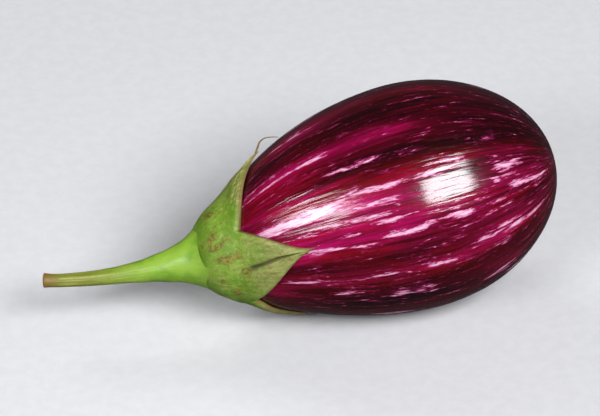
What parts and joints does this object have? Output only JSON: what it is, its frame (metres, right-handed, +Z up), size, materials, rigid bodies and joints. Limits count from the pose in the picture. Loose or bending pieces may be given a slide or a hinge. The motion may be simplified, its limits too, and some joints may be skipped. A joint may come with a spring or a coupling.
{
  "type": "eggplant",
  "caption": "Small egg-shaped striped eggplant lying on its side, with a lobed calyx and a cut stem, resting on a small flat spot.",
  "frame": {"origin": "middle of the small flat spot on the underside that the eggplant rests on", "axes": "+Z up from the surface it rests on, +X along the fruit from the stem towards the blossom end, -Y the side that the crown leans to"},
  "size_m": [0.1415, 0.062, 0.0622],
  "materials": {
    "skin": "waxy gloss skin, dark maroon to magenta with broken pink-white streaks",
    "sepals": "satin grey-green sepals with tan edges",
    "stem": "satin yellow-green stem with a dry brown cut end"
  },
  "bodies": {
    "root": {"fruit": "skin", "calyx": "sepals", "stem": "stem"}
  },
  "joints": []
}
